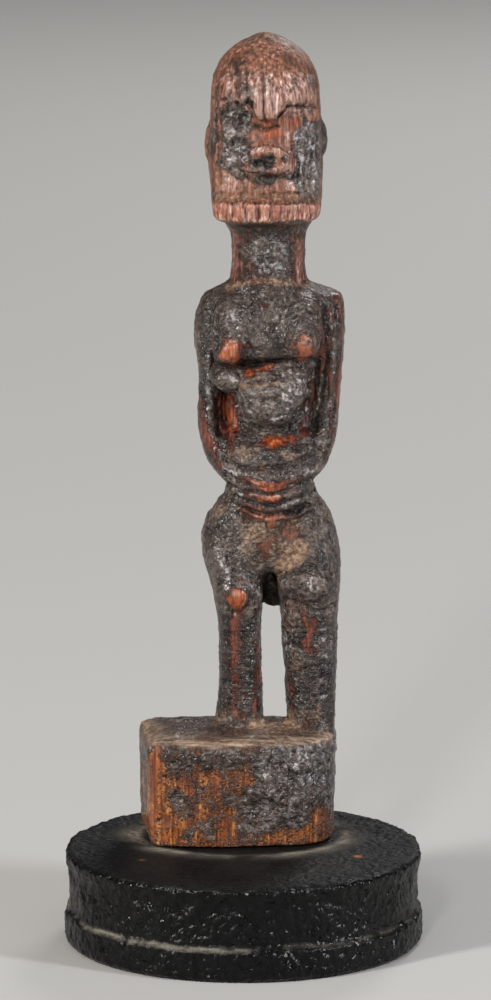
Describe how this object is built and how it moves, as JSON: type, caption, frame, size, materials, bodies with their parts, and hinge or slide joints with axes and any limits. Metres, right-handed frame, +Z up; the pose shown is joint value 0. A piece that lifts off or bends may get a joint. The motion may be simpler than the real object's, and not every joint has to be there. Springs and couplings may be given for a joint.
{
  "type": "carved standing figure on a round base",
  "caption": "Small standing female figure with hands at the belly, carved in one with a rough wood block, resting on a round stepped black base.",
  "frame": {"origin": "middle of the round base's underside", "axes": "+Z up through the base to the crown, the figure faces -Y, its left hand side in the picture is -X"},
  "size_m": [0.0928, 0.0928, 0.2349],
  "materials": {
    "carved_wood": "old reddish brown hardwood under a dark crusty patina, worn through to orange wood on high spots, with ochre dust in the recesses",
    "black_base": "wood under a thick bumpy black coating with a satin gloss and pale dust on its ledge"
  },
  "bodies": {
    "root": {"carved_figure": "carved_wood", "round_base": "black_base"}
  },
  "joints": []
}
